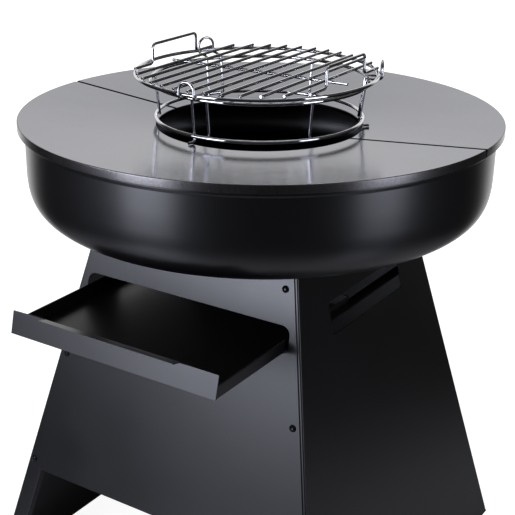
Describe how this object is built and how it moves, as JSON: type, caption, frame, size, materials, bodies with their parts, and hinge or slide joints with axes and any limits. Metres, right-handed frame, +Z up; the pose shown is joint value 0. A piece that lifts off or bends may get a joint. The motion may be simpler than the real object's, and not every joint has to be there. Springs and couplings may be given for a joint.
{
  "type": "cooking brazier",
  "caption": "Free-standing steel fire bowl on a tapered sheet base, with a split cooking plate round a fire hole, a lift-off wire grate and an ash drawer.",
  "frame": {"origin": "on the floor, at the middle of the floor space that the brazier takes with its drawer pulled out as at rest; the upright axis of the bowl and plate stands 10.4 mm behind it", "axes": "+Z up, -Y the way the drawer opens, +X to the right as seen from the drawer's side"},
  "size_m": [0.7998, 0.8214, 0.9494],
  "materials": {
    "base_powder_coat": "satin",
    "bowl_enamel": "gloss",
    "plate_steel": "satin",
    "wire_chrome": "polished",
    "dark_steel": "matt",
    "screw_black": "satin"
  },
  "bodies": {
    "base": {"front_panel": "base_powder_coat", "back_panel": "base_powder_coat", "left_side_panel": "base_powder_coat", "right_side_panel": "base_powder_coat", "front_screw_1": "screw_black", "front_screw_2": "screw_black", "front_screw_3": "screw_black", "front_screw_4": "screw_black", "front_screw_5": "screw_black", "front_screw_6": "screw_black", "back_screw_1": "screw_black", "back_screw_2": "screw_black", "back_screw_3": "screw_black", "back_screw_4": "screw_black", "back_screw_5": "screw_black", "back_screw_6": "screw_black", "fire_bowl": "bowl_enamel", "ash_grate": "dark_steel", "bowl_bolt_1": "screw_black", "bowl_bolt_2": "screw_black", "bowl_bolt_3": "screw_black", "bowl_bolt_4": "screw_black", "bowl_nut_1": "screw_black", "bowl_nut_2": "screw_black", "bowl_nut_3": "screw_black", "bowl_nut_4": "screw_black", "drawer_runner_left": "base_powder_coat", "drawer_runner_right": "base_powder_coat"},
    "drawer": {"drawer_tray": "base_powder_coat", "drawer_front": "base_powder_coat"},
    "plate": {"plate_half_front": "plate_steel", "plate_half_back": "plate_steel"},
    "stand": {"stand_lower_ring": "wire_chrome", "stand_upper_ring": "wire_chrome", "stand_loop_1": "wire_chrome", "stand_loop_2": "wire_chrome", "stand_loop_3": "wire_chrome", "stand_post_1": "wire_chrome", "stand_post_2": "wire_chrome", "stand_post_3": "wire_chrome"},
    "grate": {"grate_ring": "wire_chrome", "grate_rod_1": "wire_chrome", "grate_rod_2": "wire_chrome", "grate_rod_3": "wire_chrome", "grate_rod_4": "wire_chrome", "grate_rod_5": "wire_chrome", "grate_rod_6": "wire_chrome", "grate_rod_7": "wire_chrome", "grate_rod_8": "wire_chrome", "grate_rod_9": "wire_chrome", "grate_rod_10": "wire_chrome", "grate_rod_11": "wire_chrome", "grate_cross_rod": "wire_chrome", "grate_handle_left": "wire_chrome", "grate_handle_right": "wire_chrome"}
  },
  "joints": [
    {"name": "drawer_slide", "type": "slide", "parent": "base", "child": "drawer", "axis": [0, -1, 0], "range_m": [-0.186, 0.11]},
    {"name": "plate_lift", "type": "slide", "parent": "base", "child": "plate", "axis": [0, 0, 1], "range_m": [0, 0.12]},
    {"name": "stand_lift", "type": "slide", "parent": "plate", "child": "stand", "axis": [0, 0, 1], "range_m": [0, 0.12]},
    {"name": "grate_lift", "type": "slide", "parent": "stand", "child": "grate", "axis": [0, 0, 1], "range_m": [0, 0.12]}
  ]
}
